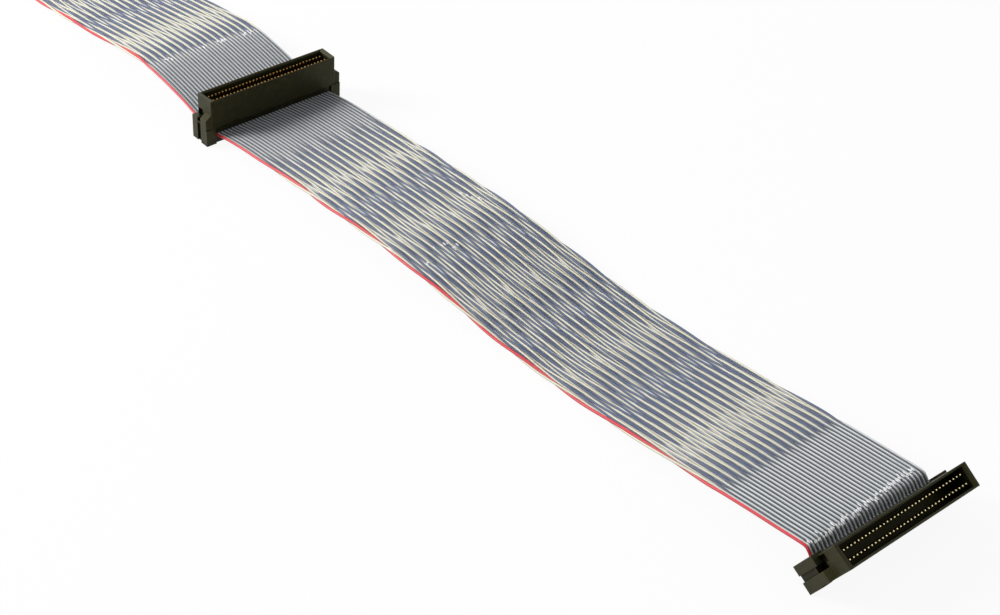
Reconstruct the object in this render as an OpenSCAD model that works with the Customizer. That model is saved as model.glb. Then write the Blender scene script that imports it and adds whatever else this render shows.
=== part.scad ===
// Half-pitch parallel bus ribbon cable with three pin connectors.
// A flat ribbon of twisted wire pairs is pressed onto three identical plug connectors:
// one stands at the middle of the cable, one is tipped over at the near end of the run,
// and one stands at the far end. Each connector is a moulded housing with a D-shaped
// shroud and two rows of contacts, closed from below by a snap-on cover that clamps
// the ribbon. The origin is the centre of the middle connector's underside: +X runs
// along the ribbon to the tipped connector, +Y from the marked wire to the other edge.

/* [Ribbon] */
// Number of wires laid side by side, in twisted pairs
wire_count = 68; // [40:4:68]
// Distance between neighbouring wires in the flat parts
wire_pitch = 0.635; // [0.60:0.005:0.66]
// Diameter of one insulated wire
wire_d = 0.62; // [0.50:0.01:0.64]
// Thickness of the clear film bonded over and under the wires
film_t = 0.06; // [0.04:0.01:0.10]
// Thickness of the twisted parts of the wire layer
twist_t = 1.24; // [0.70:0.02:1.30]
// Length of the flat part beside each connector
flat_len = 34; // [20:1:45]
// Length over which a flat part swells into a twisted part
blend_len = 6; // [3:1:10]

/* [Contacts] */
// Distance between neighbouring contacts in a row
contact_pitch = 1.27; // [1.20:0.01:1.30]
// Distance between the two rows of contacts
row_gap = 2.54; // [2.40:0.02:2.60]
// Width and thickness of a contact pin
pin_w = 0.42; // [0.36:0.02:0.46]
// Height of the pin tips above the underside
pin_top = 14.05; // [12.0:0.05:14.2]
// Width of the forked foot that grips a wire
fork_w = 0.90; // [0.70:0.02:1.00]
// Width of the gap between the two tines of a fork
fork_gap = 0.26; // [0.20:0.02:0.36]

/* [Housing] */
// Height of the shroud's rim above the underside
rim_z = 15.1; // [14.5:0.1:16.0]
// Thickness of the shroud from front to back
shroud_t = 6.65; // [6.4:0.05:6.9]
// Thickness of the shroud's front and back walls
wall_t = 0.6; // [0.5:0.1:0.9]
// Thickness of the shroud's end walls
end_wall = 1.4; // [1.2:0.1:1.6]
// How much shorter the D-shaped shroud is at its front, at each end
d_taper = 0.25; // [0.1:0.05:0.6]
// How far the inner edge of the rim is bevelled, to lead a plug in
lead_in = 0.45; // [0.2:0.05:0.5]
// Clear length between the last contact and the end of the cavity
end_clear = 1.25; // [1.0:0.05:1.6]
// Height of the cavity floor
floor_z = 7.4; // [7.0:0.1:8.0]
// Depth of the base in front of the centre line
base_front = 3.5; // [3.4:0.1:3.8]
// Depth of the base behind the centre line, between the ears
base_back = 3.5; // [3.4:0.1:3.8]
// Depth of the ears behind the centre line
ear_back = 4.0; // [3.8:0.1:4.4]
// Height of the top of the base between the ears
base_z = 7; // [6.5:0.1:8.0]
// How far each end ear stands out past the shroud
ear_out = 1.75; // [1.5:0.05:2.0]
// Height of the top of the rear half of the ear beside the marked wire
ear_marked_z = 8.1; // [7.8:0.1:8.4]
// Height of the top of the rear half of the other ear
ear_plain_z = 5.9; // [5.4:0.1:6.4]
// Height of the outer top of the front half of an ear
ear_front_z = 8.8; // [8.2:0.1:9.2]
// Height at which the front rib of an ear meets the shroud
ear_rib_z = 10.2; // [9.8:0.1:10.6]
// Depth of the front half of an ear in front of the centre line, above its leg
ear_face = 3.2; // [3.0:0.1:3.3]
// Height of the ledge along the front face, which is the top of the front legs
ledge_z = 5.3; // [4.6:0.1:5.8]
// Depth of the recessed band between the front legs
ledge_in = 0.6; // [0.3:0.1:0.7]
// Gap between the surface and the rear half of the legs
back_lift = 0.3; // [0.2:0.1:0.8]

/* [Cover] */
// Height of the cover plate, which is the height of the underside of the ribbon
cover_h = 2.5; // [2.2:0.1:3.0]
// Width of the latch arm, front to back
arm_w = 1.7; // [1.2:0.1:2.0]
// Position of the latch arm in front of the centre line
arm_t = -0.5; // [-0.8:0.1:0.0]
// Height of the top of the latch arm
arm_z = 7.1; // [6.6:0.1:7.4]
// How far the face of the latch arm lies inside the end of the ear
arm_in = 0.6; // [0.4:0.1:1.0]
// How far the hook of the latch arm stands out
hook_out = 0.5; // [0.1:0.05:0.6]
// Height of the underside of the latch arm above the surface
arm_lift = 0.1; // [0:0.1:0.8]
// Height of the top of the latch window
window_z = 10.5; // [10.0:0.1:11.0]
// Width of the latch window behind the arm
window_w = 2; // [1.6:0.1:2.2]
// Depth of the latch window in the end wall
window_in = 1.0; // [0.4:0.1:1.1]

/* [Layout] */
// Distance from the middle connector back to the host connector
host_run = 235; // [180:5:300]
// Distance along X from the middle connector to the tipped connector
end_run = 239.6; // [238.8:0.2:244.0]
// Sideways offset of the tipped connector
end_side = 3.4; // [2.0:0.2:6.0]
// How far the tipped connector leans over, in degrees
end_lean = 30.3; // [26.0:0.1:33.0]
// How far the tipped connector is turned about the vertical, in degrees
end_turn = -1.6; // [-4.0:0.2:0.0]

/* [Hidden] */
eps = 0.01;

per_row = wire_count / 2;
row_len = (per_row - 1) * contact_pitch;
ribbon_w = wire_count * wire_pitch;
slab_t = wire_d + 2 * film_t;
ribbon_z = cover_h + slab_t / 2;
wire_top_z = cover_h + slab_t;

cav_half = row_len / 2 + end_clear;
shroud_half = cav_half + end_wall;
base_half = shroud_half + ear_out;
leg_in = max(row_len / 2 + 0.95, ribbon_w / 2 + 0.3);
arm_face = base_half - arm_in;
end_z = base_front * sin(end_lean);

// The ribbon's route: points along its centre line, set by hand.
route_back = [
  [-11, 0, 4.6], [-20, 0, 6.6], [-34, 0, 8.6], [-46, 0.1, 8.1], [-60, 0.1, 6.4],
  [-76, 0.2, 4.4], [-93, 0.2, 2.8], [-110, 0.3, 1.5], [-128, 0.3, 0.9], [-150, 0.3, 0.8],
  [-176, 0.2, 0.8], [-201, 0.1, 1.2], [-218, 0, 2.2]
];
route_front = [
  [10, 0, 3.9], [19, 0.1, 4.6], [34, 0.3, 5.1], [50, 0.6, 5.6], [70, 1.1, 5.7],
  [90, 1.6, 5.4], [110, 2.2, 3.7], [130, 2.8, 1.7], [150, 3.2, 1.1], [170, 3.6, 1.8],
  [190, 3.8, 3.5], [205, 3.8, 5.1], [218, 3.7, 6.5], [228, 3.5, 7.5], [234, 3.4, 8.1],
  [236.2, 3.4, 7.9]
];

// Shares of the full width at distances along X: the free ribbon draws in a little behind
// the middle connector, and spreads a little where it dips.
spread = [
  [-90, 1], [-60, 0.985], [-14, 0.985], [-4, 1], [85, 1], [130, 1.02], [205, 1.025],
  [228, 1.01], [237, 1]
];

// A point given along a tipped connector's own axes, in the cable's frame.
function tipped(p) =
  let (x = p[0] * cos(end_lean) + p[2] * sin(end_lean))
  let (z = -p[0] * sin(end_lean) + p[2] * cos(end_lean))
  [
    end_run + x * cos(end_turn) - p[1] * sin(end_turn),
    end_side + x * sin(end_turn) + p[1] * cos(end_turn),
    end_z + z
  ];

// Stretches of free ribbon run between the slots of two connectors.
host_slot = [[-host_run - ear_back, 0, ribbon_z], [-host_run + base_front, 0, ribbon_z]];
middle_slot = [[-ear_back, 0, ribbon_z], [base_front, 0, ribbon_z]];
end_slot = [tipped([-ear_back, 0, ribbon_z]), tipped([base_front, 0, ribbon_z])];
back_run = [for (i = [len(route_back) - 1:-1:0]) route_back[i]];

function unit(v) = v / norm(v);

// The point halfway along a smooth curve from b to c, with neighbours a and d.
function halfway(a, b, c, d) = (9 * (b + c) - a - d) / 16;

// The free stretch p, doubled in points, without its two ends.
function smooth(p) =
  let (n = len(p) - 1)
  [
    for (i = [0:n - 1])
      for (half = [0, 1])
        if (i > 0 || half > 0)
          half == 0 ? p[i] : halfway(p[max(i - 1, 0)], p[i], p[i + 1], p[min(i + 2, n)])
  ];

// Every station of the ribbon, from the host connector to the tipped one.
back_points = smooth(concat([host_slot[1]], back_run, [middle_slot[0]]));
front_points = smooth(concat([middle_slot[1]], route_front, [end_slot[0]]));
stations = concat(host_slot, back_points, middle_slot, front_points, end_slot);
last = len(stations) - 1;
middle_at = 2 + len(back_points);

// Inside a connector the ribbon is straight, so its direction there is the slot's own.
function along(i) =
  i <= 1 ? [1, 0, 0]
  : i == middle_at || i == middle_at + 1 ? [1, 0, 0]
  : i >= last - 1 ? unit(end_slot[1] - end_slot[0])
  : unit(stations[i + 1] - stations[i - 1]);

// The free ribbon doesn't turn until it nears the tipped connector.
function turn_at(x) = end_turn * min(max((x - 150) / (end_run - 150 - ear_back - 2), 0), 1);
function across(i) =
  let (a = i >= last - 1 ? end_turn : turn_at(stations[i][0]))
  [-sin(a), cos(a), 0];

// Share of the full twist thickness at a distance from the nearest connector.
function blend(u) =
  let (k = min(max(u, 0), 1))
  k * k * (3 - 2 * k);
function gap_to_connector(x) = min(abs(x), abs(x - end_run), abs(x + host_run));
function half_t(x) =
  (wire_d + (twist_t - wire_d) * blend((gap_to_connector(x) - flat_len) / blend_len)) / 2;

// A section point is [across, side, film]: side -1 or 1 is the wire layer's face,
// and film is how far outside that face the point lies.
function ring(i, section) =
  let (s = across(i))
  let (up = unit(cross(along(i), s)))
  let (wide = lookup(stations[i][0], spread))
  let (half = half_t(stations[i][0]))
  [for (q = section) stations[i] + s * q[0] * wide + up * (q[1] * half + sign(q[1]) * q[2])];

// Two strips that share a face are split along the same diagonals, so they meet exactly.
function rising(a, b) = b[0] + 0.01 * b[1] > a[0] + 0.01 * a[1];

module strip(section, from = 0, to = last) {
  m = len(section);
  n = to - from;
  points = [for (i = [from:to]) each ring(i, section)];
  sides = [
    for (i = [0:n - 1])
      for (j = [0:m - 1])
        let (k = (j + 1) % m)
        let (a = i * m + j, b = i * m + k, c = a + m, d = b + m)
        each rising(section[j], section[k]) ? [[a, b, c], [b, d, c]] : [[a, b, d], [a, d, c]]
  ];
  near_cap = [for (j = [m - 1:-1:0]) j];
  far_cap = [for (j = [0:m - 1]) n * m + j];
  polyhedron(points, concat(sides, [near_cap, far_cap]));
}

edge = ribbon_w / 2;
split = wire_pitch - edge;
round = 0.18;

// The station nearest a distance along X.
function station_at(x) =
  let (gaps = [for (p = stations) abs(p[0] - x)])
  search(min(gaps), gaps)[0];

// Stretches of the wire layer, so that each is a simple shape: the flat parts at the
// connectors, and the twisted parts where they lie, rise, arch and dip.
cut_lying = station_at(-201);
cut_rise = station_at(-93);
cut_back = station_at(-34);
cut_front = station_at(34);
cut_arch = station_at(110);
cut_dip = station_at(170);
cut_end = station_at(205);

module wires(from, to) {
  strip([
    [split, 1, 0], [edge - round, 1, 0], [edge, 0.4, 0],
    [edge, -0.4, 0], [edge - round, -1, 0], [split, -1, 0]
  ], from, to);
}

module flat(from, to) {
  color("#aab0bc")
  wires(from, to);
}

module twisted(from, to) {
  color("#8791ac")
  wires(from, to);
}

module host_flat() {
  flat(0, cut_lying);
}

module rear_lying() {
  twisted(cut_lying, cut_rise);
}

module rear_rise() {
  twisted(cut_rise, cut_back);
}

module middle_flat() {
  flat(cut_back, cut_front);
}

module front_arch() {
  twisted(cut_front, cut_arch);
}

module front_dip() {
  twisted(cut_arch, cut_dip);
}

module front_rise() {
  twisted(cut_dip, cut_end);
}

module end_flat() {
  flat(cut_end, last);
}

module marked_wire() {
  color("#c8242f")
  strip([
    [-edge, 0.4, 0], [round - edge, 1, 0], [split - round, 1, 0], [split, 0.4, 0],
    [split, -0.4, 0], [split - round, -1, 0], [round - edge, -1, 0], [-edge, -0.4, 0]
  ]);
}

// A clear film over one face of the wires; side is 1 above and -1 below.
module film(side) {
  outer = [[round - edge, side, film_t], [split, side, film_t], [edge - round, side, film_t]];
  inner = [[edge - round, side, 0], [split, side, 0], [round - edge, side, 0]];
  section = concat(outer, inner);
  color("#dfe4ec")
  strip(side > 0 ? section : [for (i = [5:-1:0]) section[i]]);
}

module film_top() {
  film(1);
}

module film_bottom() {
  film(-1);
}

// Draws children, given as [across, up], as a slab between two distances from the back.
module slab(from, to) {
  translate([from, 0, 0])
  rotate([90, 0, 90])
  linear_extrude(to - from)
  children();
}

// Points on a corner of radius r about [x, y], from angle a to angle b.
function corner(x, y, r, a, b) =
  [for (i = [0:4]) [x + r * cos(a + (b - a) * i / 4), y + r * sin(a + (b - a) * i / 4)]];

// A D shape, [front to back, end to end], shorter at the front; rf and rb round it.
module d_outline(half_w, half_l, rf, rb) {
  front = half_l - d_taper;
  polygon(concat(
    corner(half_w - rf, front - rf, rf, 0, 90),
    corner(rb - half_w, half_l - rb, rb, 90, 180),
    corner(rb - half_w, rb - half_l, rb, 180, 270),
    corner(half_w - rf, rf - front, rf, 270, 360)
  ));
}

foot_z = 5.6;
neck_z = 6.0;

// The outline of a contact below the cavity floor, which is also that of its hole.
module contact_hole() {
  polygon([
    [-fork_w / 2, wire_top_z - eps], [fork_w / 2, wire_top_z - eps], [fork_w / 2, foot_z],
    [pin_w / 2, neck_z], [pin_w / 2, floor_z + eps], [-pin_w / 2, floor_z + eps],
    [-pin_w / 2, neck_z], [-fork_w / 2, foot_z]
  ]);
}

// A stamped contact: a two-tined fork, a shoulder, and a pin with a bevelled tip.
module contact() {
  fork_top = wire_top_z + 1.1;
  polygon([
    [-fork_w / 2, wire_top_z], [-fork_gap / 2, wire_top_z], [-fork_gap / 2, fork_top],
    [0, fork_top + 0.15], [fork_gap / 2, fork_top], [fork_gap / 2, wire_top_z],
    [fork_w / 2, wire_top_z], [fork_w / 2, foot_z], [pin_w / 2, neck_z],
    [pin_w / 2, pin_top - 0.35], [pin_w / 4, pin_top], [-pin_w / 4, pin_top],
    [-pin_w / 2, pin_top - 0.35], [-pin_w / 2, neck_z], [-fork_w / 2, foot_z]
  ]);
}

// One row of contacts or holes; side is 1 for the front row and -1 for the rear row.
module row(side) {
  at = side * row_gap / 2;
  slab(at - pin_w / 2, at + pin_w / 2)
  for (i = [0:per_row - 1])
    translate([i * contact_pitch - row_len / 2, 0])
    children();
}

module contacts(side) {
  color("#d8b65a")
  row(side)
  contact();
}

arm_back = arm_t - arm_w / 2;
arm_fore = arm_t + arm_w / 2;

// The right-hand end of the base, seen from the front: the rear and front halves of the
// ear, with a leg down each side of the latch arm's slot. The front leg stands proud.
module ear(back_z) {
  slab(-ear_back, arm_back)
  polygon([
    [leg_in, back_lift], [base_half, back_lift], [base_half, back_z], [leg_in, back_z]
  ]);
  slab(arm_fore, base_front)
  polygon([[leg_in, 0], [base_half, 0], [base_half, ledge_z], [leg_in, ledge_z]]);
  slab(arm_fore, ear_face)
  polygon([
    [leg_in, ledge_z - 1], [base_half, ledge_z - 1], [base_half, ear_front_z],
    [shroud_half - d_taper, ear_rib_z], [leg_in, ear_rib_z]
  ]);
}

// What the latch needs: a slot for the arm, and a window above it and behind it.
module latch_space() {
  translate([arm_back, leg_in, -1])
  cube([arm_w, ear_out + end_wall + 2, arm_z + 1]);
  translate([arm_back, shroud_half - window_in, arm_z])
  cube([arm_w, ear_out + 2, window_z - arm_z - 1]);
  translate([arm_back + 0.4 - window_w, shroud_half - window_in, ear_marked_z])
  cube([window_w, ear_out + 2, window_z - ear_marked_z]);
}

// A strip of a half width, flaring upwards at 45 degrees from just inside the rim.
module flare(half) {
  low = rim_z - lead_in - eps;
  polygon([
    [eps - half, low], [half - eps, low],
    [half + lead_in + 1, rim_z + 1], [-half - lead_in - 1, rim_z + 1]
  ]);
}

// The bevel round the inside of the rim.
module lead_in_bevel() {
  intersection() {
    slab(-shroud_t, shroud_t)
    flare(cav_half);
    rotate([90, 0, 0])
    linear_extrude(4 * shroud_half, center = true)
    flare(shroud_t / 2 - wall_t);
  }
}

module both_ends() {
  children();
  mirror([0, 1, 0])
  children();
}

module housing() {
  color("#25281b")
  difference() {
    union() {
      translate([0, 0, wire_top_z])
      linear_extrude(rim_z - wire_top_z)
      d_outline(shroud_t / 2, shroud_half, 0.2, 0.15);
      translate([-base_back, -leg_in - 0.5, wire_top_z])
      cube([base_back, 2 * leg_in + 1, base_z - wire_top_z]);
      ear(ear_plain_z);
      mirror([0, 1, 0])
      ear(ear_marked_z);
    }
    translate([0, 0, floor_z])
    linear_extrude(rim_z)
    d_outline(shroud_t / 2 - wall_t, cav_half, 0.3, 0.2);
    lead_in_bevel();
    translate([base_front - ledge_in, -leg_in, -1])
    cube([ledge_in + 1, 2 * leg_in, ledge_z + 1]);
    row(1)
    contact_hole();
    row(-1)
    contact_hole();
    both_ends()
    latch_space();
  }
}

// The cover's outline from the front: a plate between the legs, with a hooked arm each end.
module cover_plate() {
  polygon([[-leg_in, 0], [leg_in, 0], [leg_in, cover_h], [-leg_in, cover_h]]);
}

module latch_arm() {
  polygon([
    [leg_in - 0.01, arm_lift], [arm_face, arm_lift],
    [arm_face, arm_z - 0.4 - hook_out], [arm_face + hook_out, arm_z - 0.4],
    [arm_face + hook_out, arm_z], [leg_in, arm_z], [leg_in, cover_h],
    [leg_in - 0.01, cover_h]
  ]);
}

module cover() {
  color("#1d1f16")
  union() {
    slab(0.2 - base_back, base_front - ledge_in)
    cover_plate();
    both_ends()
    slab(arm_back, arm_fore)
    latch_arm();
  }
}

module at_end() {
  translate([end_run, end_side, end_z])
  rotate([0, end_lean, end_turn])
  children();
}

module at_host() {
  translate([-host_run, 0, 0])
  children();
}

module middle_housing() {
  housing();
}

module middle_cover() {
  cover();
}

module middle_front_contacts() {
  contacts(1);
}

module middle_rear_contacts() {
  contacts(-1);
}

module end_housing() {
  at_end() housing();
}

module end_cover() {
  at_end() cover();
}

module end_front_contacts() {
  at_end() contacts(1);
}

module end_rear_contacts() {
  at_end() contacts(-1);
}

module host_housing() {
  at_host() housing();
}

module host_cover() {
  at_host() cover();
}

module host_front_contacts() {
  at_host() contacts(1);
}

module host_rear_contacts() {
  at_host() contacts(-1);
}

host_flat();
rear_lying();
rear_rise();
middle_flat();
front_arch();
front_dip();
front_rise();
end_flat();
marked_wire();
film_top();
film_bottom();
middle_housing();
middle_cover();
middle_front_contacts();
middle_rear_contacts();
end_housing();
end_cover();
end_front_contacts();
end_rear_contacts();
host_housing();
host_cover();
host_front_contacts();
host_rear_contacts();
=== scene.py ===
"""Looks for a flat ribbon cable of twisted wire pairs with three pin connectors.

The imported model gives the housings, covers and contacts their places. This file lays
the real wires, twisted pair by pair, along the cable's route, bonds clear films over
and under them, sets the contact pins, and gives every piece its material. The route is
the one that the model's ribbon follows, in metres here.
"""

import math
import bmesh
import bpy
import numpy as np
from mathutils import Matrix, Vector


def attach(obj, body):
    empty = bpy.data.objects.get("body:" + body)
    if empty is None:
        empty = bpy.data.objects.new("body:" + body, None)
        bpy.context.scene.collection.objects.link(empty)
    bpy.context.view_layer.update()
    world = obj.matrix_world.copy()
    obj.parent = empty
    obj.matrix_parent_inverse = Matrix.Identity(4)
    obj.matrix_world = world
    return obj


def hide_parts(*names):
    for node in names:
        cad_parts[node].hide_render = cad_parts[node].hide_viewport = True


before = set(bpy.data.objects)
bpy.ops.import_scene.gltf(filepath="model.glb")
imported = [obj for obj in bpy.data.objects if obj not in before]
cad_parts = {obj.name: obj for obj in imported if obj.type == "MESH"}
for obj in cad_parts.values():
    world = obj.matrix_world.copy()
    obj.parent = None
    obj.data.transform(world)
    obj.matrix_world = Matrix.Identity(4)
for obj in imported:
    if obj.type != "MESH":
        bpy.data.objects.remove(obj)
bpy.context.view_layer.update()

bl_info = {
    "name": "Ribbon Cable Looks",
    "version": (1, 0, 0),
    "blender": (4, 5, 0),
    "location": "View3D > Sidebar > Ribbon Cable",
    "description": "Twisted pairs, clear films, pins and materials for a ribbon cable",
    "category": "Object",
}

# ---------------------------------------------------------------- the cable's layout

PAIRS = 34  # pairs side by side, counted from the marked edge
WIRE_PITCH = 0.000635
ROW_LENGTH = 33 * 0.00127
ROW_GAP = 0.00254

EAR_BACK = 0.0040  # depth of a connector behind its centre line
BASE_FRONT = 0.0035  # and in front of it
RIBBON_Z = 0.00287  # height of the ribbon's middle inside a connector
HOST_RUN = 0.235
END_LEAN = math.radians(30.3)
END_TURN = math.radians(-1.6)
END_AT = Vector((0.2396, 0.0034, BASE_FRONT * math.sin(END_LEAN)))
TIPPED = (
    Matrix.Translation(END_AT)
    @ Matrix.Rotation(END_TURN, 4, "Z")
    @ Matrix.Rotation(END_LEAN, 4, "Y")
)

BACK_ROUTE = (
    (-0.218, 0.0, 0.0022),
    (-0.201, 0.0001, 0.0012),
    (-0.176, 0.0002, 0.0008),
    (-0.150, 0.0003, 0.0008),
    (-0.128, 0.0003, 0.0009),
    (-0.110, 0.0003, 0.0015),
    (-0.093, 0.0002, 0.0028),
    (-0.076, 0.0002, 0.0044),
    (-0.060, 0.0001, 0.0064),
    (-0.046, 0.0001, 0.0081),
    (-0.034, 0.0, 0.0086),
    (-0.020, 0.0, 0.0066),
    (-0.011, 0.0, 0.0046),
)
FRONT_ROUTE = (
    (0.010, 0.0, 0.0039),
    (0.019, 0.0001, 0.0046),
    (0.034, 0.0003, 0.0051),
    (0.050, 0.0006, 0.0056),
    (0.070, 0.0011, 0.0057),
    (0.090, 0.0016, 0.0054),
    (0.110, 0.0022, 0.0037),
    (0.130, 0.0028, 0.0017),
    (0.150, 0.0032, 0.0011),
    (0.170, 0.0036, 0.0018),
    (0.190, 0.0038, 0.0035),
    (0.205, 0.0038, 0.0051),
    (0.218, 0.0037, 0.0065),
    (0.228, 0.0035, 0.0075),
    (0.234, 0.0034, 0.0081),
    (0.2362, 0.0034, 0.0079),
)

# Shares of the full width at distances along X.
SPREAD = (
    (-0.090, 1.0), (-0.060, 0.985), (-0.014, 0.985), (-0.004, 1.0), (0.085, 1.0),
    (0.130, 1.02), (0.205, 1.025), (0.228, 1.01), (0.237, 1.0),
)

# Turns made by a pair up to a distance along X, from one flat part to the next.
# Even and odd pairs are wound in opposite senses and a third of a turn apart.
FRONT_TURNS = {
    0: ((0.0205, 0.0), (0.0355, 0.25), (0.0682, 1.25), (0.1033, 2.25), (0.1387, 3.25),
        (0.1746, 4.25), (0.2006, 4.75), (0.2107, 5.0)),
    1: ((0.0224, 0.0), (0.0418, 0.25), (0.0564, 0.75), (0.088, 1.75), (0.1222, 2.75),
        (0.1586, 3.75), (0.1826, 4.25), (0.2056, 4.75), (0.2122, 5.0)),
}
BACK_TURNS = {
    0: ((-0.210, 0.0), (-0.176, 0.75), (-0.144, 1.75), (-0.112, 2.75), (-0.0818, 3.75),
        (-0.0604, 4.25), (-0.0398, 4.75), (-0.0337, 5.0)),
    1: ((-0.212, 0.0), (-0.196, 0.25), (-0.161, 1.25), (-0.128, 2.25), (-0.0965, 3.25),
        (-0.064, 4.25), (-0.044, 4.75), (-0.0347, 5.0)),
}


# No two pairs turn at quite the same place. Most drift a little, and a few lag behind,
# but by the next flat part they are level again.
DRIFT = 0.0008
FRONT_LAG = 0.0055
BACK_LAG = 0.006
FRONT_LEVEL = 0.183
BACK_LEVEL = -0.0575
LAG_FADE = 0.015


def unit(v):
    """v at length one."""
    v = np.asarray(v, float)
    return v / np.linalg.norm(v)


def tipped(x, y, z):
    """A point given along the tipped connector's own axes, in the cable's frame."""
    return tuple(TIPPED @ Vector((x, y, z)))


def doubled(points):
    """The points with one more halfway along each smooth span, without the two ends."""
    p = [np.array(q) for q in points]
    n = len(p) - 1
    out = []
    for i in range(n):
        if i:
            out.append(p[i])
        a, d = p[max(i - 1, 0)], p[min(i + 2, n)]
        out.append((9 * (p[i] + p[i + 1]) - a - d) / 16)
    return out


HOST_SLOT = ((-HOST_RUN - EAR_BACK, 0, RIBBON_Z), (-HOST_RUN + BASE_FRONT, 0, RIBBON_Z))
MIDDLE_SLOT = ((-EAR_BACK, 0, RIBBON_Z), (BASE_FRONT, 0, RIBBON_Z))
END_SLOT = (tipped(-EAR_BACK, 0, RIBBON_Z), tipped(BASE_FRONT, 0, RIBBON_Z))


def ribbon_stations():
    """The ribbon's centre line from the host connector on, and its direction there."""
    back = doubled([HOST_SLOT[1], *BACK_ROUTE, MIDDLE_SLOT[0]])
    front = doubled([MIDDLE_SLOT[1], *FRONT_ROUTE, END_SLOT[0]])
    middle = 2 + len(back)
    p = [np.array(q, float) for q in (*HOST_SLOT, *back, *MIDDLE_SLOT, *front, *END_SLOT)]
    ways = []
    for i in range(len(p)):
        if i < 2 or i in (middle, middle + 1):
            ways.append(np.array((1.0, 0.0, 0.0)))
        elif i >= len(p) - 2:
            ways.append(unit(p[-1] - p[-2]))
        else:
            ways.append(unit(p[i + 1] - p[i - 1]))
    return p, ways


def across_at(x):
    """The ribbon's sideways direction at a distance along X."""
    share = min(max((x - 0.150) / (END_AT.x - 0.150 - EAR_BACK - 0.002), 0), 1)
    return np.array((-math.sin(END_TURN * share), math.cos(END_TURN * share), 0.0))


def fine_stations(step):
    """Closely spaced (point, across, up) along the ribbon's centre line."""
    p, ways = ribbon_stations()
    out = []
    for i in range(len(p) - 1):
        length = np.linalg.norm(p[i + 1] - p[i])
        count = max(1, round(length / step))
        for j in range(count + (i == len(p) - 2)):
            t = j / count
            a, b = p[i], p[i + 1]
            ta, tb = ways[i] * length, ways[i + 1] * length
            point = (
                (2 * t**3 - 3 * t**2 + 1) * a
                + (t**3 - 2 * t**2 + t) * ta
                + (3 * t**2 - 2 * t**3) * b
                + (t**3 - t**2) * tb
            )
            way = (
                (6 * t**2 - 6 * t) * a
                + (3 * t**2 - 4 * t + 1) * ta
                + (6 * t - 6 * t**2) * b
                + (3 * t**2 - 2 * t) * tb
            )
            side = across_at(point[0])
            out.append((point, side, unit(np.cross(unit(way), side))))
    return out


def smooth_step(u):
    """0 below 0, 1 above 1, and a smooth rise between."""
    u = min(max(u, 0.0), 1.0)
    return u * u * (3 - 2 * u)


def eased(knots, x):
    """A smooth rising curve through the knots, level before the first and after the last."""
    if x <= knots[0][0]:
        return knots[0][1]
    if x >= knots[-1][0]:
        return knots[-1][1]
    slopes = [0.0]
    for (x0, y0), (x1, y1), (x2, y2) in zip(knots, knots[1:], knots[2:]):
        s0, s1 = (y1 - y0) / (x1 - x0), (y2 - y1) / (x2 - x1)
        slopes.append(2 * s0 * s1 / (s0 + s1))
    slopes.append(0.0)
    for i in range(len(knots) - 1):
        (x0, y0), (x1, y1) = knots[i], knots[i + 1]
        if x <= x1:
            h = x1 - x0
            t = (x - x0) / h
            return (
                (2 * t**3 - 3 * t**2 + 1) * y0
                + (t**3 - 2 * t**2 + t) * h * slopes[i]
                + (3 * t**2 - 2 * t**3) * y1
                + (t**3 - t**2) * h * slopes[i + 1]
            )
    return knots[-1][1]


def pair_turn(k, x):
    """Angle of pair k's dark wire, from the marked edge over the top, at a distance."""
    odd = k % 2
    drift = DRIFT * math.sin(1.9 * k)
    if x > 0:
        lag = FRONT_LAG if k % 8 in (5, 6) else drift
        lag *= 1 - smooth_step((x - FRONT_LEVEL) / LAG_FADE)
        return (1 - 2 * odd) * 2 * math.pi * eased(FRONT_TURNS[odd], x - lag)
    lag = BACK_LAG if k % 4 == 3 else drift
    lag *= 1 - smooth_step((x - BACK_LEVEL) / LAG_FADE)
    return (2 * odd - 1) * 2 * math.pi * eased(BACK_TURNS[odd], x + lag)


def wire_offset(k, x, dark):
    """Where a wire of pair k lies across and above the ribbon's centre line."""
    turn = pair_turn(k, x)
    wide = np.interp(x, *zip(*SPREAD))
    centre = (2 * k + 1 - PAIRS) * WIRE_PITCH * wide
    reach = WIRE_PITCH / 2 * (-1 if dark else 1)
    return centre + reach * wide * math.cos(turn), -reach * math.sin(turn)


# ---------------------------------------------------------------- colours and nodes


def linear(code):
    """An sRGB hex colour as linear RGBA."""
    parts = [int(code[i:i + 2], 16) / 255 for i in (1, 3, 5)]
    curve = [c / 12.92 if c <= 0.04045 else ((c + 0.055) / 1.055) ** 2.4 for c in parts]
    return (*curve, 1.0)


def add_node(tree, kind, inputs=None, **settings):
    """A node of a kind in a tree, with its settings, and its inputs set or linked."""
    node = tree.nodes.new(kind)
    for name, value in settings.items():
        setattr(node, name, value)
    for name, value in (inputs or {}).items():
        if isinstance(value, bpy.types.NodeSocket):
            tree.links.new(value, node.inputs[name])
        else:
            node.inputs[name].default_value = value
    return node


def new_material(name):
    """An empty material, its node tree and its Principled shader."""
    material = bpy.data.materials.new(name)
    material.use_nodes = True
    tree = material.node_tree
    tree.nodes.clear()
    shader = add_node(tree, "ShaderNodeBsdfPrincipled")
    out = add_node(tree, "ShaderNodeOutputMaterial")
    tree.links.new(shader.outputs["BSDF"], out.inputs["Surface"])
    return material, tree, shader


def object_coords(tree, scale=(1, 1, 1)):
    """Object coordinates, stretched along each axis."""
    coords = add_node(tree, "ShaderNodeTexCoord")
    mapping = add_node(
        tree, "ShaderNodeMapping", {"Vector": coords.outputs["Object"], "Scale": scale}
    )
    return mapping.outputs["Vector"]


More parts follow.
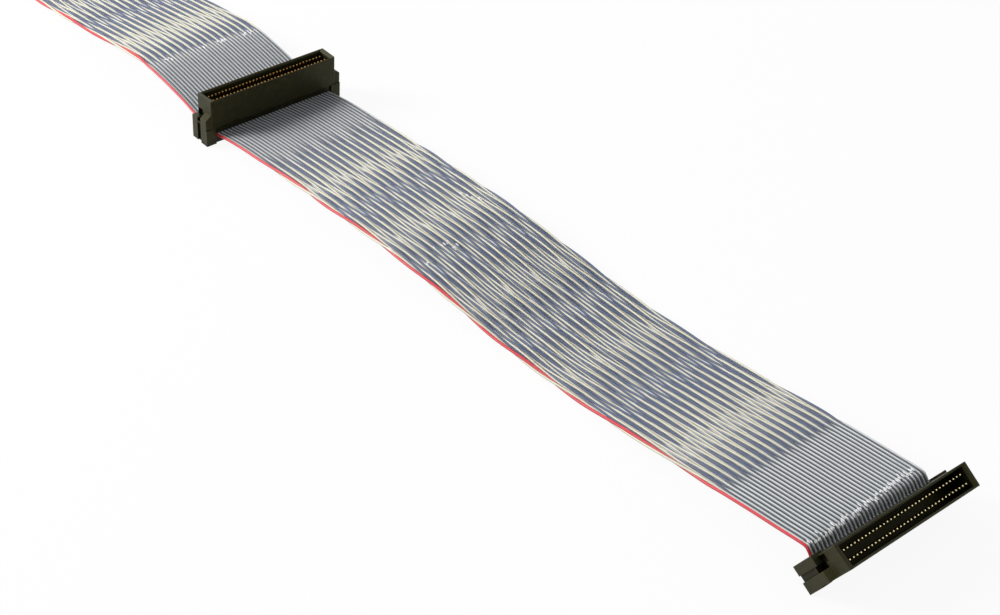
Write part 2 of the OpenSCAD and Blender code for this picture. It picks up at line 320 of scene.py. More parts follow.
def mix_colour(tree, share, a, b, blend="MIX"):
    """A blend of colours a and b."""
    node = add_node(tree, "ShaderNodeMix", data_type="RGBA", blend_type=blend)
    for socket, value in zip((node.inputs[0], node.inputs[6], node.inputs[7]), (share, a, b)):
        if isinstance(value, bpy.types.NodeSocket):
            tree.links.new(value, socket)
        else:
            socket.default_value = value
    return node.outputs[2]


def ramp(tree, value, stops):
    """A colour ramp over a value."""
    node = add_node(tree, "ShaderNodeValToRGB", {"Fac": value})
    elements = node.color_ramp.elements
    while len(elements) > 1:
        elements.remove(elements[-1])
    for i, (at, colour) in enumerate(stops):
        element = elements[0] if i == 0 else elements.new(at)
        element.position = at
        element.color = colour
    return node.outputs["Color"]


def share_along(tree, stops):
    """A share between 0 and 1 that changes along the cable, whose half metre spans the
    stops' 0 to 1."""
    coords = add_node(tree, "ShaderNodeTexCoord")
    split = add_node(tree, "ShaderNodeSeparateXYZ", {"Vector": coords.outputs["Object"]})
    along = add_node(
        tree, "ShaderNodeMapRange",
        {"Value": split.outputs["X"], "From Min": -0.25, "From Max": 0.25},
    )
    return ramp(tree, along.outputs["Result"], [(at, (v, v, v, 1)) for at, v in stops])


# 1 on the flat parts beside a connector, where the wires lie sealed between the films,
# and 0 on the twisted parts.
BONDED = (
    (0.06, 1), (0.09, 0), (0.426, 0), (0.438, 1), (0.544, 1), (0.573, 0), (0.91, 0), (0.925, 1),
)
# 1 at the flat part by the tipped connector, and 0 at the flat parts by the middle and host
# connectors, which are darkened there with painted shade.
UNSHADED = ((0.6, 0), (0.9, 1))


def seen_share(tree):
    """1 for what is seen straight, mirrored or through something clear, 0 for what
    only lights."""
    rays = add_node(tree, "ShaderNodeLightPath")
    seen = rays.outputs["Is Camera Ray"]
    for kind in ("Is Glossy Ray", "Is Transmission Ray"):
        either = add_node(
            tree, "ShaderNodeMath", {0: seen, 1: rays.outputs[kind]}, operation="MAXIMUM"
        )
        seen = either.outputs[0]
    return seen


# ---------------------------------------------------------------- materials


def wire_vinyl(name, twisted, bonded, bonded_in_shade, shadow, roughness):
    """Extruded vinyl insulation: satin, with drawn streaks along the wire. It is milkier
    where it is sealed between the films, darkened with painted shade on the flat parts by the
    middle and host connectors, and darkened with painted shade on the sides that face a
    neighbouring wire."""
    material, tree, shader = new_material(name)
    # Streaks 1.1 mm wide and 17 mm long. Real die lines are finer, and wouldn't show.
    streaks = add_node(
        tree, "ShaderNodeTexNoise",
        {"Vector": object_coords(tree, (60, 900, 900)), "Scale": 1.0, "Detail": 3.0},
    )
    # Painted shade: on the flat parts by the middle and host connectors, the bonded colour is
    # darkened towards the third colour.
    sealed = mix_colour(tree, share_along(tree, UNSHADED), bonded_in_shade, bonded)
    base = mix_colour(tree, share_along(tree, BONDED), twisted, sealed)
    shade = ramp(tree, streaks.outputs["Fac"], [(0.3, (0.86, 0.86, 0.86, 1)), (0.7, (1, 1, 1, 1))])
    streaked = mix_colour(tree, 1.0, base, shade, "MULTIPLY")
    # Painted shade: where a wire's surface faces sideways, towards its neighbour, its colour is
    # darkened towards the gap shadow colour.
    surface = add_node(tree, "ShaderNodeNewGeometry")
    facing = add_node(tree, "ShaderNodeSeparateXYZ", {"Vector": surface.outputs["Normal"]})
    level = add_node(tree, "ShaderNodeMath", {0: facing.outputs["Z"]}, operation="ABSOLUTE")
    gap = add_node(
        tree, "ShaderNodeMapRange",
        {"Value": level.outputs[0], "From Min": 0.05, "From Max": 0.6, "To Min": 0.3},
    )
    gap_shaded = mix_colour(tree, gap.outputs["Result"], shadow, streaked)
    tree.links.new(gap_shaded, shader.inputs["Base Color"])
    shader.inputs["Roughness"].default_value = roughness
    bump = add_node(
        tree, "ShaderNodeBump",
        {"Height": streaks.outputs["Fac"], "Strength": 0.15, "Distance": 0.00005},
    )
    tree.links.new(bump.outputs["Normal"], shader.inputs["Normal"])
    return material


def clear_film(name, tint):
    """Clear vinyl film: nearly invisible face on, glossy, with faint heat-seal haze."""
    material, tree, shader = new_material(name)
    # The heat seal's ripple: 3 mm along the ribbon and 17 mm across it.
    haze = add_node(
        tree, "ShaderNodeTexNoise",
        {"Vector": object_coords(tree, (300, 60, 300)), "Scale": 1.0, "Detail": 2.0},
    )
    shader.inputs["Base Color"].default_value = tint
    shader.inputs["Roughness"].default_value = 0.12
    shader.inputs["IOR"].default_value = 1.5
    shader.inputs["Alpha"].default_value = 0.04
    bump = add_node(
        tree, "ShaderNodeBump",
        {"Height": haze.outputs["Fac"], "Strength": 0.3, "Distance": 0.0002},
    )
    tree.links.new(bump.outputs["Normal"], shader.inputs["Normal"])
    return material


EDGE_RADIUS = 0.00024  # a moulded edge, drawn twice as round as it is so that it shows; it also sets the width of the painted edge highlight
CORNER_SHADE_REACH = 0.005  # how far out of an inner corner the painted shade reaches


def moulded_plastic(name, colour, worn, edge, corner, roughness):
    """Glass-filled moulded plastic: near-black olive, spark-eroded satin grain, edges
    very slightly rounded and lightened with a painted highlight, and inner corners darkened with
    painted shade."""
    material, tree, shader = new_material(name)
    # Eroded grain of 0.1 mm, and mottling in patches of 1.4 mm.
    grain = add_node(
        tree, "ShaderNodeTexNoise",
        {"Vector": object_coords(tree), "Scale": 9000.0, "Detail": 2.0},
    )
    mottle = add_node(
        tree, "ShaderNodeTexNoise",
        {"Vector": object_coords(tree), "Scale": 700.0, "Detail": 4.0},
    )
    patches = ramp(tree, mottle.outputs["Fac"], [(0.35, colour), (0.75, worn)])
    rounded = add_node(tree, "ShaderNodeBevel", {"Radius": EDGE_RADIUS}, samples=4)
    surface = add_node(tree, "ShaderNodeNewGeometry")
    facing = add_node(
        tree, "ShaderNodeVectorMath",
        {0: rounded.outputs["Normal"], 1: surface.outputs["True Normal"]},
        operation="DOT_PRODUCT",
    )
    # Painted highlight: near an edge, where the rounded normal turns away from the face's own, the
    # colour is lightened towards the edge colour.
    near_edge = add_node(
        tree, "ShaderNodeMapRange",
        {"Value": facing.outputs["Value"], "From Min": 0.99, "From Max": 0.84},
    )
    highlighted = mix_colour(tree, near_edge.outputs["Result"], patches, edge)
    # Painted shade: inner corners and recesses, found by the occlusion close by, are darkened
    # towards the corner colour.
    openness = add_node(
        tree, "ShaderNodeAmbientOcclusion", {"Distance": CORNER_SHADE_REACH}, samples=8
    )
    in_open = add_node(
        tree, "ShaderNodeMapRange",
        {"Value": openness.outputs["AO"], "From Min": 0.25, "From Max": 0.8},
    )
    shaded = mix_colour(tree, in_open.outputs["Result"], corner, highlighted)
    tree.links.new(shaded, shader.inputs["Base Color"])
    rough = add_node(
        tree, "ShaderNodeMapRange",
        {"Value": mottle.outputs["Fac"], "To Min": roughness - 0.05, "To Max": roughness + 0.08},
    )
    tree.links.new(rough.outputs["Result"], shader.inputs["Roughness"])
    shader.inputs["IOR"].default_value = 1.5
    shader.inputs["Specular IOR Level"].default_value = 0.3
    shader.inputs["Specular Tint"].default_value = linear("#BDB57C")
    bump = add_node(
        tree, "ShaderNodeBump",
        {
            "Height": grain.outputs["Fac"], "Strength": 0.12, "Distance": 0.00003,
            "Normal": rounded.outputs["Normal"],
        },
    )
    tree.links.new(bump.outputs["Normal"], shader.inputs["Normal"])
    return material


def plated_contact(name, colour, roughness):
    """Hard gold plate over nickel on stamped phosphor bronze, slightly brushed along the shafts.
    The colour given is one of lit and shaded copies of the same gold: bright on the tipped
    connector's tips as a painted highlight, duller on the upright connectors' tips and dark on the
    shafts as painted shade."""
    material, tree, shader = new_material(name)
    # Brushing 0.25 mm wide and 2 mm long. The real one is finer, and wouldn't show.
    brush = add_node(
        tree, "ShaderNodeTexNoise",
        {"Vector": object_coords(tree, (4000, 4000, 500)), "Scale": 1.0, "Detail": 2.0},
    )
    tone = ramp(
        tree, brush.outputs["Fac"],
        [(0.3, tuple(0.8 * c for c in colour[:3]) + (1,)), (0.7, colour)],
    )
    tree.links.new(tone, shader.inputs["Base Color"])
    shader.inputs["Metallic"].default_value = 1.0
    shader.inputs["Roughness"].default_value = roughness
    return material


def glint_fleck_film(name):
    """Painted glints: white flecks on the film where it is creased."""
    material, tree, shader = new_material(name)
    shader.inputs["Base Color"].default_value = linear("#FFFFFF")
    shader.inputs["Roughness"].default_value = 0.25
    # Small bumps 0.25 mm apart.
    speck = add_node(
        tree, "ShaderNodeTexNoise",
        {"Vector": object_coords(tree), "Scale": 4000.0, "Detail": 2.0},
    )
    bump = add_node(
        tree, "ShaderNodeBump",
        {"Height": speck.outputs["Fac"], "Strength": 0.4, "Distance": 0.0001},
    )
    tree.links.new(bump.outputs["Normal"], shader.inputs["Normal"])
    return material


# ---------------------------------------------------------------- node groups and meshes


def tube_tree():
    """Geometry nodes that turn polylines into round insulated wires."""
    tree = bpy.data.node_groups.new("Wire Along Path", "GeometryNodeTree")
    face = tree.interface
    face.new_socket("Geometry", in_out="INPUT", socket_type="NodeSocketGeometry")
    face.new_socket("Diameter", in_out="INPUT", socket_type="NodeSocketFloat")
    face.new_socket("Sides", in_out="INPUT", socket_type="NodeSocketInt")
    face.new_socket("Material", in_out="INPUT", socket_type="NodeSocketMaterial")
    face.new_socket("Geometry", in_out="OUTPUT", socket_type="NodeSocketGeometry")
    start = add_node(tree, "NodeGroupInput")
    curve = add_node(tree, "GeometryNodeMeshToCurve", {"Mesh": start.outputs["Geometry"]})
    radius = add_node(
        tree, "ShaderNodeMath", {0: start.outputs["Diameter"], 1: 0.5}, operation="MULTIPLY"
    )
    ring = add_node(
        tree, "GeometryNodeCurvePrimitiveCircle",
        {"Resolution": start.outputs["Sides"], "Radius": radius.outputs[0]},
    )
    tube = add_node(
        tree, "GeometryNodeCurveToMesh",
        {"Curve": curve.outputs[0], "Profile Curve": ring.outputs[0], "Fill Caps": True},
    )
    smooth = add_node(tree, "GeometryNodeSetShadeSmooth", {"Geometry": tube.outputs[0]})
    real = add_node(tree, "GeometryNodeRealizeInstances", {"Geometry": smooth.outputs[0]})
    finish = add_node(
        tree, "GeometryNodeSetMaterial",
        {"Geometry": real.outputs[0], "Material": start.outputs["Material"]},
    )
    add_node(tree, "NodeGroupOutput", {"Geometry": finish.outputs[0]})
    return tree


def grid_tree():
    """Geometry nodes that set a pin at every place of a two-row contact field."""
    tree = bpy.data.node_groups.new("Pin Field", "GeometryNodeTree")
    face = tree.interface
    face.new_socket("Geometry", in_out="INPUT", socket_type="NodeSocketGeometry")
    face.new_socket("Row gap", in_out="INPUT", socket_type="NodeSocketFloat")
    face.new_socket("Row length", in_out="INPUT", socket_type="NodeSocketFloat")
    face.new_socket("Pins per row", in_out="INPUT", socket_type="NodeSocketInt")
    face.new_socket("Tip height", in_out="INPUT", socket_type="NodeSocketFloat")
    face.new_socket("Shaft material", in_out="INPUT", socket_type="NodeSocketMaterial")
    face.new_socket("Tip material", in_out="INPUT", socket_type="NodeSocketMaterial")
    face.new_socket("Geometry", in_out="OUTPUT", socket_type="NodeSocketGeometry")
    start = add_node(tree, "NodeGroupInput")
    places = add_node(
        tree, "GeometryNodeMeshGrid",
        {
            "Size X": start.outputs["Row gap"], "Size Y": start.outputs["Row length"],
            "Vertices X": 2, "Vertices Y": start.outputs["Pins per row"],
        },
    )
    pins = add_node(
        tree, "GeometryNodeInstanceOnPoints",
        {"Points": places.outputs["Mesh"], "Instance": start.outputs["Geometry"]},
    )
    real = add_node(tree, "GeometryNodeRealizeInstances", {"Geometry": pins.outputs[0]})
    shafts = add_node(
        tree, "GeometryNodeSetMaterial",
        {"Geometry": real.outputs[0], "Material": start.outputs["Shaft material"]},
    )
    place = add_node(tree, "GeometryNodeInputPosition")
    split = add_node(tree, "ShaderNodeSeparateXYZ", {"Vector": place.outputs[0]})
    high = add_node(
        tree, "FunctionNodeCompare",
        {"A": split.outputs["Z"], "B": start.outputs["Tip height"]},
        data_type="FLOAT", operation="GREATER_THAN",
    )
    tips = add_node(
        tree, "GeometryNodeSetMaterial",
        {
            "Geometry": shafts.outputs[0], "Selection": high.outputs[0],
            "Material": start.outputs["Tip material"],
        },
    )
    add_node(tree, "NodeGroupOutput", {"Geometry": tips.outputs[0]})
    return tree


def mesh_object(name, vertices, edges=(), faces=()):
    """A mesh object in the scene."""
    mesh = bpy.data.meshes.new(name)
    mesh.from_pydata([tuple(v) for v in vertices], list(edges), list(faces))
    mesh.update()
    ob = bpy.data.objects.new(name, mesh)
    bpy.context.scene.collection.objects.link(ob)
    return ob


def baked(name, source, tree, values):
    """The plain mesh object that a node tree makes of a source object."""
    modifier = source.modifiers.new(tree.name, "NODES")
    modifier.node_group = tree
    sockets = {
        item.name: item.identifier
        for item in tree.interface.items_tree
        if item.item_type == "SOCKET" and item.in_out == "INPUT"
    }
    for key, value in values.items():
        modifier[sockets[key]] = value
    bpy.context.view_layer.update()
    graph = bpy.context.evaluated_depsgraph_get()
    mesh = bpy.data.meshes.new_from_object(source.evaluated_get(graph))
    source.modifiers.remove(modifier)
    bpy.data.objects.remove(source)
    mesh.name = name
    ob = bpy.data.objects.new(name, mesh)
    bpy.context.scene.collection.objects.link(ob)
    if not mesh.polygons:
        raise RuntimeError(f"{name} came out empty")
    return ob


def strip_object(name, rows, closed=False):
    """A smooth surface through rows of points."""
    count = len(rows[0])
    faces = []
    for i in range(len(rows) - 1):
        for j in range(count - 1 + closed):
            k = (j + 1) % count
            a, b = i * count + j, i * count + k
            faces.append((a, b, b + count, a + count))
    ob = mesh_object(name, [p for row in rows for p in row], faces=faces)
    ob.data.polygons.foreach_set("use_smooth", [True] * len(ob.data.polygons))
    return ob


# ---------------------------------------------------------------- settings


def swatch(name, description, code):
    """A colour that the user can change."""
    return bpy.props.FloatVectorProperty(
        name=name, description=description, default=linear(code), size=4, subtype="COLOR",
        min=0, max=1,
    )


class RibbonSettings(bpy.types.PropertyGroup):
    """Sizes and colours of the wires and films."""

    wire_diameter: bpy.props.FloatProperty(
        name="Wire diameter", description="Outside diameter of an insulated wire",
        default=0.00062, min=0.0005, max=0.00064, unit="LENGTH", precision=5,
    )
    step: bpy.props.FloatProperty(
        name="Detail", description="Distance between points along a wire",
        default=0.0016, min=0.0008, max=0.004, unit="LENGTH", precision=4,
    )
    marked_diameter: bpy.props.FloatProperty(
        name="Marked wire diameter", description="Outside diameter of the edge wire",
        default=0.0008, min=0.0005, max=0.0009, unit="LENGTH", precision=5,
    )
    film_thickness: bpy.props.FloatProperty(
        name="Film thickness", description="Thickness of each clear film",
        default=0.00005, min=0.00002, max=0.0001, unit="LENGTH", precision=5,
    )
    light_wire: swatch("Light wire", "Colour of each pair's pale wire", "#EEEAD4")
    light_bonded: swatch(
        "Light wire, bonded", "Pale wire seen through the sealed films", "#E2E7E8"
    )
    # Painted shade: this third colour darkens the pale wire's flat parts by the middle and host
    # connectors.
    light_in_shade: swatch("Light wire, greyed", "Pale wire seen through aged films", "#C6CBCD")
    dark_wire: swatch("Dark wire", "Colour of each pair's blue-grey wire", "#46577E")
    dark_bonded: swatch(
        "Dark wire, bonded", "Blue-grey wire seen through the sealed films", "#262E3C"
    )
    # Painted shade, as for the pale wire.
    dark_in_shade: swatch("Dark wire, greyed", "Blue-grey wire seen through aged films", "#30363F")
    # Painted shade between two wires side by side.
    gap_shadow: swatch("Gap shadow", "Colour between two wires side by side", "#24282E")
    marked_wire: swatch("Marked wire", "Colour of the edge wire", "#E6323E")
    film_tint: swatch("Film tint", "Colour of the clear films", "#E8ECF2")


class ConnectorSettings(bpy.types.PropertyGroup):
    """Sizes and colours of the connectors."""

    pin_width: bpy.props.FloatProperty(
        name="Pin width", description="Width and thickness of a contact pin",
        default=0.00042, min=0.0003, max=0.0005, unit="LENGTH", precision=5,
    )
    pin_top: bpy.props.FloatProperty(
        name="Pin top", description="Height of the pin tips above the underside",
        default=0.01405, min=0.012, max=0.0142, unit="LENGTH", precision=4,
    )
    housing: swatch("Housing", "Colour of the housing plastic", "#26261A")
    housing_worn: swatch(
        "Housing, paler", "Colour of the paler mottling in the plastic", "#302F1C"
    )
    # Painted highlight along the housing edges.
    housing_edge_highlight: swatch("Housing, edges", "Colour of edges that are handled", "#47432C")
    # Painted shade deep in inner corners and recesses.
    housing_corner_shade: swatch("Housing, corners", "Colour deep in inner corners", "#040502")
    cover: swatch("Cover", "Colour of the cover plastic", "#1A1A10")
    # Lit and shaded copies of one gold plate: the first is a painted highlight, the other two are
    # painted shade.
    gold: swatch("Gold plate", "Colour of the plating on the coined tips", "#FFF0B4")
    tip_gold_in_shade: swatch("Gold plate, dull", "Colour of the tips that stand upright", "#B48A4C")
    shaft_in_shade: swatch("Gold plate, shafts", "Colour of the plating along the shafts", "#4A3818")


class StageSettings(bpy.types.PropertyGroup):
    """The floor and the lamps."""

    floor: swatch("Floor", "Colour of the floor", "#FFFFFF")
    floor_glow: bpy.props.FloatProperty(
        name="Floor glow", description="Share of the floor that shines evenly white",
        default=0.92, min=0, max=1, subtype="FACTOR",
    )
    sky: bpy.props.FloatProperty(
        name="Sky", description="Strength of the even light from all round",
        default=0.42, min=0, max=2,
    )
    key_power: bpy.props.FloatProperty(
        name="Key lamp", description="Power of the lamp behind the marked edge",
        default=12.0, min=0, unit="POWER",
    )
    fill_power: bpy.props.FloatProperty(
        name="Fill lamp", description="Power of the large lamp at the other edge",
        default=1.8, min=0, unit="POWER",
    )


# ---------------------------------------------------------------- operators


def declare(piece, slot, *nodes):
    """Rides a piece on the cable and hides the nodes it stands for. The slot is not used."""
    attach(piece, "root")
    if nodes:
        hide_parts(*nodes)


def wire_paths(name, wires, stations):
    """A polyline for each (pair, dark) wire."""
    vertices, edges = [], []
    for k, dark in wires:
        first = len(vertices)
        for point, side, up in stations:
            u, v = wire_offset(k, point[0], dark)
            vertices.append(point + side * u + up * v)
        edges += [(i, i + 1) for i in range(first, len(vertices) - 1)]
    return mesh_object(name, vertices, edges)


STRETCHES = (
    "host_flat", "rear_lying", "rear_rise", "middle_flat",
    "front_arch", "front_dip", "front_rise", "end_flat",
)


class CABLE_OT_wires(bpy.types.Operator):
    """Lay the twisted pairs along the route"""

    bl_idname = "cable.wires"
    bl_label = "Twisted Pairs"

    def execute(self, context):
        s = context.scene.cable_ribbon
        stations = fine_stations(s.step)
        tree = tube_tree()
        kinds = (
            (
                "light_wires", [(k, False) for k in range(PAIRS)], s.wire_diameter,
                "Cream vinyl", (s.light_wire, s.light_bonded, s.light_in_shade), 0.4,
            ),
            (
                "dark_wires", [(k, True) for k in range(1, PAIRS)], s.wire_diameter,
                "Slate vinyl", (s.dark_wire, s.dark_bonded, s.dark_in_shade), 0.42,
            ),
            (
                "red_wire", [(0, True)], s.marked_diameter,
                "Red vinyl", (s.marked_wire,) * 3, 0.38,
            ),
        )
        pieces = {}
        for name, wires, diameter, finish, colours, roughness in kinds:
            colours = [tuple(c) for c in (*colours, s.gap_shadow)]
            pieces[name] = baked(
                name, wire_paths(name + "_paths", wires, stations), tree,
                {
                    "Diameter": diameter, "Sides": 8,
                    "Material": wire_vinyl(finish, *colours, roughness),
                },
            )
        declare(pieces["light_wires"], "wire_insulation", *STRETCHES)
        declare(pieces["dark_wires"], "wire_insulation")
        declare(pieces["red_wire"], "marked_insulation", "marked_wire")
        return {"FINISHED"}


FILM_SAG = 0.25  # how far a film follows a wire that dips, in wire radii
FILM_CLEARANCE = 0.00001
FILM_STEP = 0.0024


def film_rows(stations, side, clearance):
    """Points of a film that lies on the wires, on one side of them."""
    rows = []
    radius = bpy.context.scene.cable_ribbon.wire_diameter / 2
    for point, sideways, up in stations:
        row = []
        for k in range(PAIRS):
            spots = [wire_offset(k, point[0], dark) for dark in (True, False)]
            spots.sort()
            for u, v in spots:
                reach = max(side * v, -FILM_SAG * radius) + radius + clearance
                row.append(point + sideways * u + up * (side * reach))
        rows.append(row)
    return rows


class CABLE_OT_films(bpy.types.Operator):
    """Bond the clear films over and under the wires"""

    bl_idname = "cable.films"
    bl_label = "Clear Films"

    def execute(self, context):
        s = context.scene.cable_ribbon
        stations = fine_stations(FILM_STEP)
        material = clear_film("Clear vinyl film", tuple(s.film_tint))
        for name, side in (("film_over", 1), ("film_under", -1)):
            inner = film_rows(stations, side, FILM_CLEARANCE)
            outer = film_rows(stations, side, FILM_CLEARANCE + s.film_thickness)
            rows = [a + b[::-1] for a, b in zip(inner, outer)]
            film = strip_object(name, rows, closed=True)
            film.data.materials.append(material)
            declare(film, "film", "film_top" if side > 0 else "film_bottom")
        return {"FINISHED"}


# Creases in the film, each from one (along, across) place on the ribbon to another,
# with how many flecks it holds. The white flecks are painted glints.
CREASES = (
    ((0.0752, 0.0126), (0.0772, 0.0142), 7),
    ((0.0785, 0.0146), (0.0812, 0.0156), 5),
    ((0.0913, -0.0047), (0.0916, -0.0104), 6),
    ((0.0938, -0.0044), (0.0945, -0.0062), 5),
    ((0.0952, -0.0158), (0.0960, -0.0172), 4),
    ((0.0843, -0.0208), (0.0850, -0.0214), 3),
    ((-0.0347, 0.0082), (-0.0346, 0.0052), 9),
    ((-0.0340, 0.0184), (-0.0341, 0.0146), 9),
    ((-0.0345, 0.0012), (-0.0347, -0.0022), 3),
    ((-0.0344, -0.0124), (-0.0350, -0.0152), 4),
    ((0.2364, -0.0207), (0.2342, 0.0198), 80),
)


CREASE_WIDTH = 0.0005  # how far flecks stray from the crease
FLECK_HEIGHT = 0.00035  # above the middle of the wire under it
FLECK_LENGTH = (0.0003, 0.0009)  # half of it, shortest and longest
FLECK_BREADTH = (0.00014, 0.0003)
FLECK_DEPTH = 0.0001


class CABLE_OT_creases(bpy.types.Operator):
    """Scatter white flecks, painted glints, where the film is creased"""

    bl_idname = "cable.creases"
    bl_label = "Film Creases"

    def execute(self, context):
        rng = np.random.default_rng(7)
        stations = fine_stations(0.0005)
        xs = np.array([p[0] for p, _, _ in stations])
        bm = bmesh.new()
        for (x0, y0), (x1, y1), count in CREASES:
            for i in range(count):
                t = (i + rng.uniform(0.2, 0.8)) / count
                x = x0 + (x1 - x0) * t + rng.normal(0, CREASE_WIDTH)
                u = y0 + (y1 - y0) * t
                point, side, up = stations[int(np.argmin(abs(xs - x)))]
                k = min(max(int(u / (2 * WIRE_PITCH) + PAIRS / 2), 0), PAIRS - 1)
                spots = [wire_offset(k, point[0], dark) for dark in (True, False)]
                across, height = max(spots, key=lambda q: q[1] - 3 * abs(q[0] - u))
                place = point + side * across + up * (height + FLECK_HEIGHT)
                long = rng.uniform(*FLECK_LENGTH)
                made = bmesh.ops.create_icosphere(bm, subdivisions=1, radius=1.0)
                along = np.cross(side, up)
                turn = Matrix([
                    [*(along * long), 0], [*(side * rng.uniform(*FLECK_BREADTH)), 0],
                    [*(up * FLECK_DEPTH), 0], [0, 0, 0, 1],
                ]).transposed()
                turn.translation = Vector(place)
                bmesh.ops.transform(bm, matrix=turn, verts=made["verts"])
        mesh = bpy.data.meshes.new("film_glint_flecks")
        bm.to_mesh(mesh)
        bm.free()
        flecks = bpy.data.objects.new("film_glint_flecks", mesh)
        context.scene.collection.objects.link(flecks)
        mesh.materials.append(glint_fleck_film("Creased film"))
        declare(flecks, "film")
        return {"FINISHED"}


TIP_LENGTH = 0.0005
TIP_SHARE = 0.8  # width of the tip's flat, as a share of the pin's
PIN_BEVEL = 0.00003


def pin_mesh(width, top):
    """A stamped contact: forked foot, shoulder and a square pin with a pointed tip."""
    foot, neck, low = 0.0056, 0.0060, 0.00324
    fork, gap, tines, arch = 0.0009, 0.00026, 0.0011, 0.00015
    half, shoulder = width / 2, top - TIP_LENGTH
    outline = [
        (-fork / 2, low), (-gap / 2, low), (-gap / 2, low + tines), (0, low + tines + arch),
        (gap / 2, low + tines), (gap / 2, low), (fork / 2, low), (fork / 2, foot),
        (half, neck), (half, shoulder), (-half, shoulder), (-half, neck), (-fork / 2, foot),
    ]
    bm = bmesh.new()
    face = bm.faces.new([bm.verts.new((-half, y, z)) for y, z in outline])
    made = bmesh.ops.extrude_face_region(bm, geom=[face])
    moved = [v for v in made["geom"] if isinstance(v, bmesh.types.BMVert)]
    bmesh.ops.translate(bm, verts=moved, vec=(width, 0, 0))
    bm.normal_update()
    tip = max(bm.faces, key=lambda f: f.calc_center_median().z)
    made = bmesh.ops.extrude_discrete_faces(bm, faces=[tip])
    tip = made["faces"][0]
    centre = tip.calc_center_median()
    for v in tip.verts:
        v.co.x = centre.x + (v.co.x - centre.x) * TIP_SHARE
        v.co.y = centre.y + (v.co.y - centre.y) * TIP_SHARE
        v.co.z = top
    bmesh.ops.recalc_face_normals(bm, faces=bm.faces)
    bmesh.ops.bevel(
        bm, geom=list(bm.edges), offset=PIN_BEVEL, segments=1, affect="EDGES",
        profile=0.5, clamp_overlap=True,
    )
    mesh = bpy.data.meshes.new("contact")
    bm.to_mesh(mesh)
    bm.free()
    return mesh


PLACES = {
    "middle": Matrix.Identity(4),
    "end": TIPPED,
    "host": Matrix.Translation((-HOST_RUN, 0, 0)),
}


class CABLE_OT_contacts(bpy.types.Operator):
    """Set the gold-plated contacts in the three connectors"""

    bl_idname = "cable.contacts"
    bl_label = "Contacts"

    def execute(self, context):
        s = context.scene.cable_connector
        tree = grid_tree()
        # Painted light: shafts and tips get lit and shaded copies of one gold.
        shafts = plated_contact("Gold-plated contact shaft", tuple(s.shaft_in_shade), 0.5)
        bright = plated_contact("Gold-plated contact tip", tuple(s.gold), 0.35)
        dull = plated_contact("Gold-plated contact tip, dull", tuple(s.tip_gold_in_shade), 0.45)
        for name, place in PLACES.items():
            source = bpy.data.objects.new("contact", pin_mesh(s.pin_width, s.pin_top))
            context.scene.collection.objects.link(source)
            pins = baked(
                name + "_pins", source, tree,
                {
                    "Row gap": ROW_GAP, "Row length": ROW_LENGTH,
                    "Pins per row": PAIRS, "Tip height": s.pin_top - 0.6 * TIP_LENGTH,
                    "Shaft material": shafts,
                    # The tipped connector's tips get the painted highlight, the others the painted
                    # shade.
                    "Tip material": bright if name == "end" else dull,
                },
            )
            pins.data.transform(place)
            declare(
                pins, "contact_metal", name + "_front_contacts", name + "_rear_contacts"
            )
        return {"FINISHED"}


class CABLE_OT_housings(bpy.types.Operator):
    """Finish the moulded housings and their snap-on covers"""

    bl_idname = "cable.housings"
    bl_label = "Housings and Covers"

    def execute(self, context):
        s = context.scene.cable_connector
        rims = (tuple(s.housing_edge_highlight), tuple(s.housing_corner_shade))
        body = moulded_plastic(
            "Moulded housing plastic", tuple(s.housing), tuple(s.housing_worn), *rims, 0.42
        )
        lid = moulded_plastic(
            "Moulded cover plastic", tuple(s.cover), tuple(s.housing), *rims, 0.46
        )
        for name in PLACES:
            for part, material in (("_housing", body), ("_cover", lid)):
                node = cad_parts[name + part]
                node.data.materials.clear()
                node.data.materials.append(material)
        return {"FINISHED"}


class CABLE_OT_cord(bpy.types.Operator):
    bl_idname = "cable.cord"
    bl_label = "Declare the Ribbon"

    def execute(self, context):
        return {"FINISHED"}


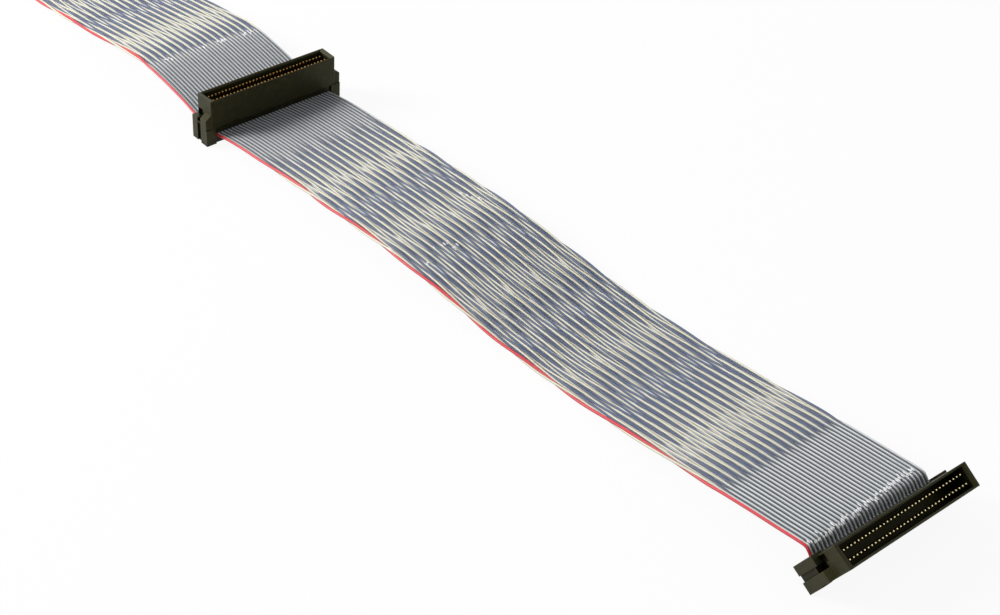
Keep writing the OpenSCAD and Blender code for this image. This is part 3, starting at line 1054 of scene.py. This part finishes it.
class CABLE_OT_stage(bpy.types.Operator):
    """Set up the floor, the light and the camera"""

    bl_idname = "cable.stage"
    bl_label = "Stage"

    def execute(self, context):
        s = context.scene.cable_stage
        scene = context.scene
        scene.view_settings.view_transform = "Standard"

        # The camera stands in front of the tipped connector and looks down the ribbon.
        yaw, pitch, roll = (math.radians(a) for a in (135.635, -37.466, 4.461))
        ahead = Vector((
            math.cos(yaw) * math.cos(pitch), math.sin(yaw) * math.cos(pitch), math.sin(pitch),
        ))
        right = ahead.cross(Vector((0, 0, 1))).normalized()
        up = right.cross(ahead)
        turned_right = right * math.cos(roll) + up * math.sin(roll)
        turned_up = up * math.cos(roll) - right * math.sin(roll)
        data = bpy.data.cameras.new("camera")
        data.sensor_width = 36.0
        data.lens = 64.517
        data.clip_start = 0.01
        camera = bpy.data.objects.new("camera", data)
        matrix = Matrix((turned_right, turned_up, -ahead)).transposed().to_4x4()
        matrix.translation = Vector((0.39631, -0.27988, 0.29898))
        camera.matrix_world = matrix
        scene.collection.objects.link(camera)
        scene.camera = camera

        floor = mesh_object(
            "floor", [(-3, -3, 0), (3, -3, 0), (3, 3, 0), (-3, 3, 0)], faces=[(0, 1, 2, 3)]
        )
        material = bpy.data.materials.new("Pale table top")
        material.use_nodes = True
        tree = material.node_tree
        tree.nodes.clear()
        share = add_node(
            tree, "ShaderNodeMath", {0: seen_share(tree), 1: s.floor_glow}, operation="MULTIPLY"
        )
        paper = add_node(tree, "ShaderNodeBsdfDiffuse", {"Color": tuple(s.floor)})
        glow = add_node(tree, "ShaderNodeEmission", {"Color": (1, 1, 1, 1), "Strength": 1.0})
        both = add_node(
            tree, "ShaderNodeMixShader",
            {0: share.outputs[0], 1: paper.outputs[0], 2: glow.outputs[0]},
        )
        add_node(tree, "ShaderNodeOutputMaterial", {"Surface": both.outputs[0]})
        floor.data.materials.append(material)

        world = bpy.data.worlds.new("studio")
        scene.world = world
        world.use_nodes = True
        tree = world.node_tree
        tree.nodes.clear()
        even = add_node(tree, "ShaderNodeBackground", {"Color": (1, 1, 1, 1), "Strength": s.sky})
        white = add_node(tree, "ShaderNodeBackground", {"Color": (1, 1, 1, 1), "Strength": 1.0})
        both = add_node(
            tree, "ShaderNodeMixShader",
            {0: seen_share(tree), 1: even.outputs[0], 2: white.outputs[0]},
        )
        add_node(tree, "ShaderNodeOutputWorld", {"Surface": both.outputs[0]})

        lamps = (
            ("key", (-0.62, -0.72, 0.50), 0.4, s.key_power),
            ("fill", (-0.8, 0.5, 0.6), 0.8, s.fill_power),
        )
        for name, place, size, power in lamps:
            data = bpy.data.lights.new(name, "AREA")
            data.size = size
            data.energy = power
            lamp = bpy.data.objects.new(name, data)
            lamp.location = place
            aim = Vector((0.1, 0, 0)) - lamp.location
            lamp.rotation_euler = aim.to_track_quat("-Z", "Y").to_euler()
            scene.collection.objects.link(lamp)
        return {"FINISHED"}


class CABLE_PT_panel(bpy.types.Panel):
    """The cable's pieces, in the sidebar"""

    bl_label = "Ribbon Cable"
    bl_idname = "CABLE_PT_panel"
    bl_space_type = "VIEW_3D"
    bl_region_type = "UI"
    bl_category = "Ribbon Cable"

    def draw(self, context):
        layout = self.layout
        for settings in ("cable_ribbon", "cable_connector", "cable_stage"):
            box = layout.box()
            group = getattr(context.scene, settings)
            for name in group.__annotations__:
                box.prop(group, name)
        for operator in OPERATORS:
            layout.operator(operator.bl_idname)


OPERATORS = (
    CABLE_OT_stage,
    CABLE_OT_wires,
    CABLE_OT_films,
    CABLE_OT_creases,
    CABLE_OT_contacts,
    CABLE_OT_housings,
    CABLE_OT_cord,
)
SETTINGS = {
    "cable_ribbon": RibbonSettings,
    "cable_connector": ConnectorSettings,
    "cable_stage": StageSettings,
}


def register():
    for group in SETTINGS.values():
        bpy.utils.register_class(group)
    for cls in (*OPERATORS, CABLE_PT_panel):
        bpy.utils.register_class(cls)
    for name, group in SETTINGS.items():
        setattr(bpy.types.Scene, name, bpy.props.PointerProperty(type=group))


def unregister():
    for name in SETTINGS:
        delattr(bpy.types.Scene, name)
    for cls in (CABLE_PT_panel, *reversed(OPERATORS)):
        bpy.utils.unregister_class(cls)
    for group in SETTINGS.values():
        bpy.utils.unregister_class(group)


def main():
    """Register the add-on and build every piece in order."""
    register()
    for operator in OPERATORS:
        group, name = operator.bl_idname.split(".")
        getattr(getattr(bpy.ops, group), name)()


if __name__ == "__main__":
    main()
